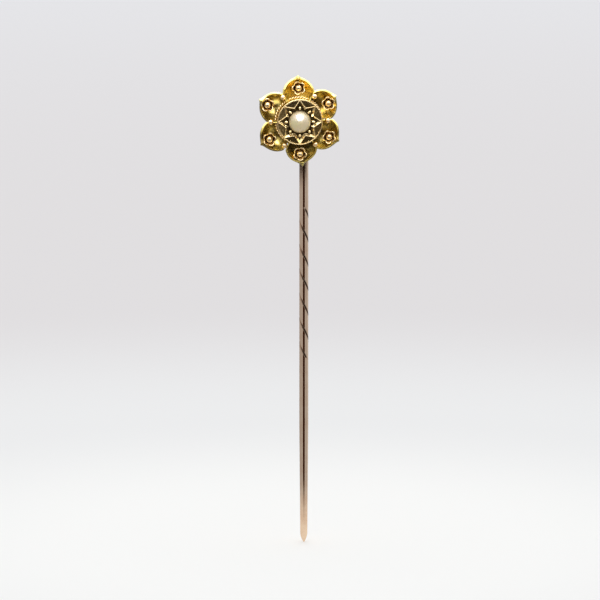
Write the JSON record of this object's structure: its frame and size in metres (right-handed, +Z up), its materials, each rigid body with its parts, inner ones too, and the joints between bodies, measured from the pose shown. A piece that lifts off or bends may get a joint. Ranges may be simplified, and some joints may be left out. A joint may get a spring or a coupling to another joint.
{
  "type": "stick pin",
  "caption": "Gold stick pin: a flower head of cupped petals with grains, a rope-collared star plate and a half pearl, on a straight shank with a grooved grip.",
  "frame": {"origin": "on the shank's axis, where the parallel wire ends and the taper to the point begins", "axes": "+Z up the shank from the point to the flower, -Y the way the flower faces, +X to the right seen from the front"},
  "size_m": [0.0102, 0.006, 0.0608],
  "materials": {
    "rose_gold": "drawn wire, polished and lightly rubbed",
    "yellow_gold": "polished sheet with dark patina in the hollows",
    "bright_gold": "burnished grains and twisted wire",
    "engraved_gold": "engraved and bright-cut, dark in the cuts",
    "pearl": "cream nacre with a soft lustre"
  },
  "bodies": {
    "root": {"shank": "rose_gold", "shank_collar": "rose_gold", "back_plate": "yellow_gold", "boss_drum": "yellow_gold", "rope_wire_1": "bright_gold", "rope_wire_2": "bright_gold", "star_plate": "engraved_gold", "pearl": "pearl", "petal_1": "yellow_gold", "petal_2": "yellow_gold", "petal_3": "yellow_gold", "petal_4": "yellow_gold", "petal_5": "yellow_gold", "petal_6": "yellow_gold", "floret_cup_1": "yellow_gold", "floret_cup_2": "yellow_gold", "floret_cup_3": "yellow_gold", "floret_cup_4": "yellow_gold", "floret_cup_5": "yellow_gold", "floret_cup_6": "yellow_gold", "floret_grain_1": "bright_gold", "floret_grain_2": "bright_gold", "floret_grain_3": "bright_gold", "floret_grain_4": "bright_gold", "floret_grain_5": "bright_gold", "floret_grain_6": "bright_gold", "cleft_grain_1": "bright_gold", "cleft_grain_2": "bright_gold", "cleft_grain_3": "bright_gold", "cleft_grain_4": "bright_gold", "cleft_grain_5": "bright_gold", "cleft_grain_6": "bright_gold"}
  },
  "joints": []
}
